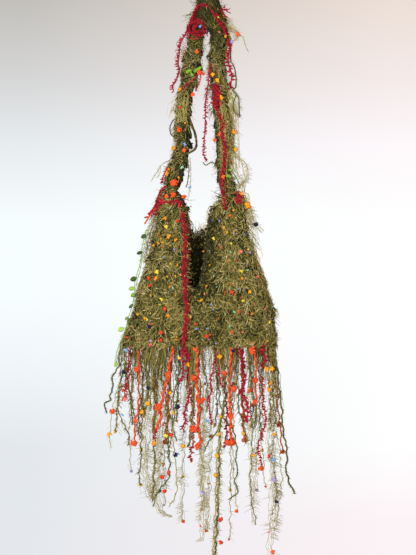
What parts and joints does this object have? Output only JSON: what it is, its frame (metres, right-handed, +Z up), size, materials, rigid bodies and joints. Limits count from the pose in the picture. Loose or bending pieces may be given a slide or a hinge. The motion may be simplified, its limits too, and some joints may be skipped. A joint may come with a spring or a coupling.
{
  "type": "bilum string bag",
  "caption": "Shaggy looped string bag with a V-cut mouth, a long shoulder strap and a deep fringe of novelty yarns, hanging from its strap.",
  "frame": {"origin": "the hang point: the underside of the strap's top fold, where a hook or peg holds the bag", "axes": "+Z up, -Y is the bag's front with the V-cut mouth, +X is to the right seen from the front"},
  "size_m": [0.3774, 0.1026, 1.144],
  "materials": {
    "olive_pile": "shaggy eyelash and looped yarn pile",
    "crimson_yarn": "looped ladder yarn",
    "lace_yarn": "thin eyelash and ladder yarn",
    "leaf_yarn": "thin yarn with small flat leaves",
    "orange_yarn": "crocheted cotton tape with small blooms",
    "olive_yarn": "hairy chenille yarn",
    "green_yarn": "twisted boucle yarn"
  },
  "bodies": {
    "root": {"pouch": "olive_pile", "shoulder_strap": "olive_pile", "top_wrap": "crimson_yarn", "right_lace": "lace_yarn", "crimson_band": "crimson_yarn", "crimson_tape": "crimson_yarn", "leaf_vine": "leaf_yarn", "fringe_front": "orange_yarn", "fringe_inner_front": "olive_yarn", "fringe_inner_back": "green_yarn", "fringe_back": "olive_yarn"}
  },
  "joints": []
}
